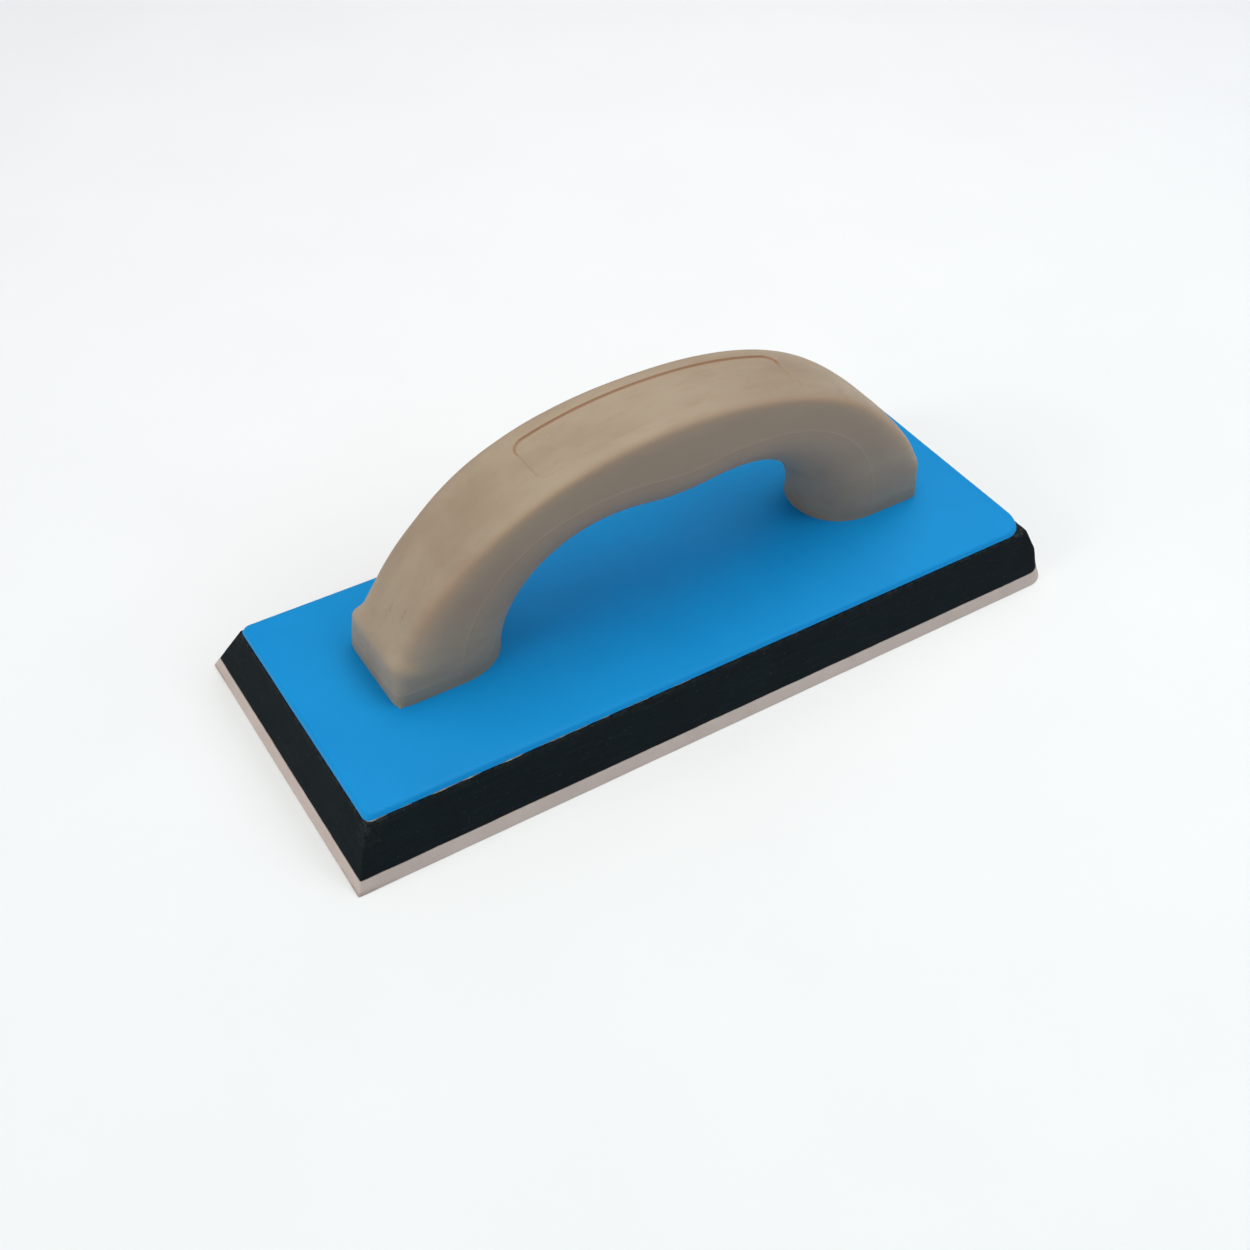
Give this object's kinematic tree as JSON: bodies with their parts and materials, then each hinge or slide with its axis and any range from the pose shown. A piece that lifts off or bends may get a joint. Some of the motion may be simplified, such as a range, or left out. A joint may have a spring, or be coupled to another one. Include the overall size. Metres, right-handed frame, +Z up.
{
  "type": "grout float",
  "caption": "Hand grout float: a pale gum rubber face on a thick bevelled foam core, glued under a thin backing plate with a moulded arch handle screwed on top.",
  "frame": {"origin": "middle of the flat working face, at the bottom of the pad", "axes": "+X along the pad towards its round-cornered end, +Y across the pad towards the side the handle is nearer to, +Z up through the handle"},
  "size_m": [0.25, 0.1, 0.0829],
  "materials": {
    "gum_rubber": "matte, pale pinkish grey sheet rubber",
    "adhesive": "dried contact cement, tan",
    "foam": "matte black closed cell foam, cut edge",
    "plate": "satin bright blue",
    "handle": "satin tan structural foam with faint flow marks",
    "screw": "zinc plated"
  },
  "bodies": {
    "root": {"gum_rubber_face": "gum_rubber", "face_adhesive": "adhesive", "foam_core": "foam", "plate_adhesive": "adhesive", "backing_plate": "plate", "handle": "handle", "screw_left_outer": "screw", "screw_left_inner": "screw", "screw_right_outer": "screw", "screw_right_inner": "screw"}
  },
  "joints": []
}
